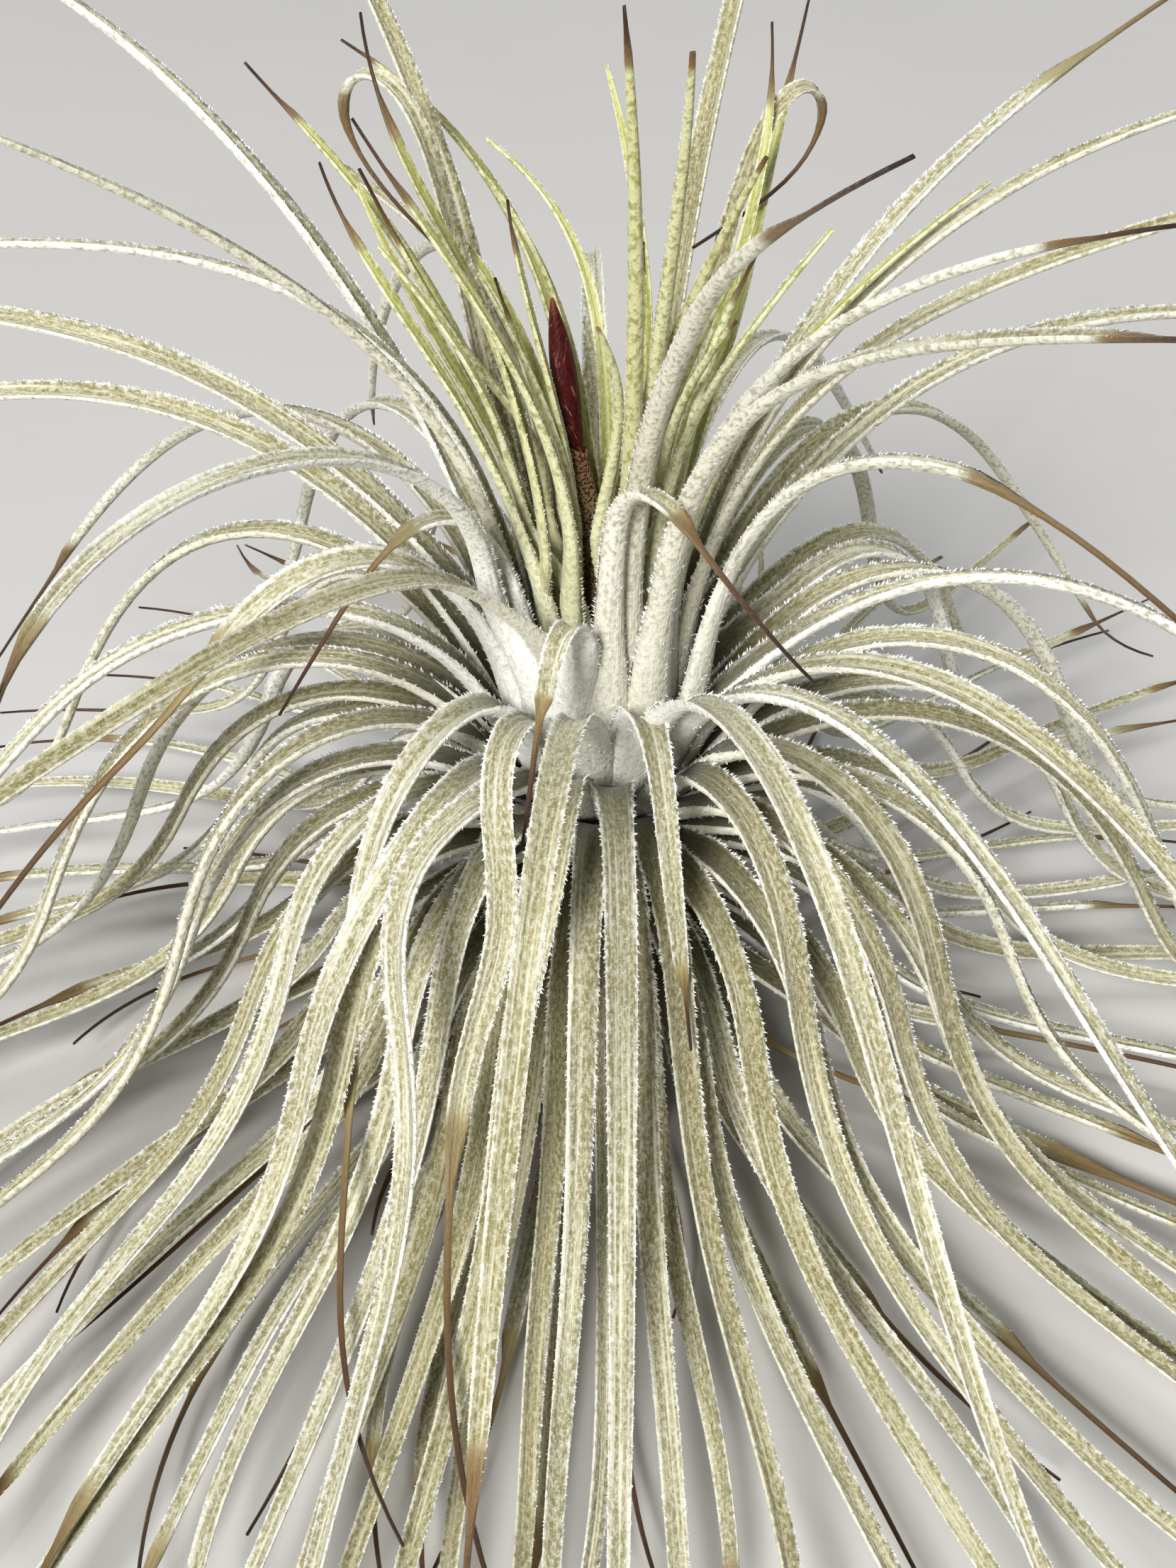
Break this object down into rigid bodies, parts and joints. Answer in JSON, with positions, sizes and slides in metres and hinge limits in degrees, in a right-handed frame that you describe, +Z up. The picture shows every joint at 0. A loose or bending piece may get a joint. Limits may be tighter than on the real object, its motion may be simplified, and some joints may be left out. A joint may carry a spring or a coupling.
{
  "type": "air plant",
  "caption": "Silver air plant: a rosette of narrow, channelled, fuzzy leaves that arch from a short stem and trail on the surface, with a slim red flower bract at its heart.",
  "frame": {"origin": "centre of the stem's flat foot, on the surface that the plant lies on", "axes": "+Z up along the stem; -Y towards the front, where the leaves droop most"},
  "size_m": [0.2229, 0.2171, 0.1398],
  "materials": {
    "stem": "rough",
    "old_leaf": "dry, matt",
    "silver_leaf": "silvery fuzz, matt",
    "young_leaf": "light fuzz, matt",
    "spike_sheath": "speckled, matt",
    "red_bract": "satin"
  },
  "bodies": {
    "root": {"stem": "stem", "old_whorl_1": "old_leaf", "old_whorl_2": "old_leaf", "silver_whorl_01": "silver_leaf", "silver_whorl_02": "silver_leaf", "silver_whorl_03": "silver_leaf", "silver_whorl_04": "silver_leaf", "silver_whorl_05": "silver_leaf", "silver_whorl_06": "silver_leaf", "silver_whorl_07": "silver_leaf", "silver_whorl_08": "silver_leaf", "silver_whorl_09": "silver_leaf", "silver_whorl_10": "silver_leaf", "young_whorl_1": "young_leaf", "young_whorl_2": "young_leaf", "young_whorl_3": "young_leaf", "spike_sheath": "spike_sheath", "red_bract": "red_bract"}
  },
  "joints": []
}
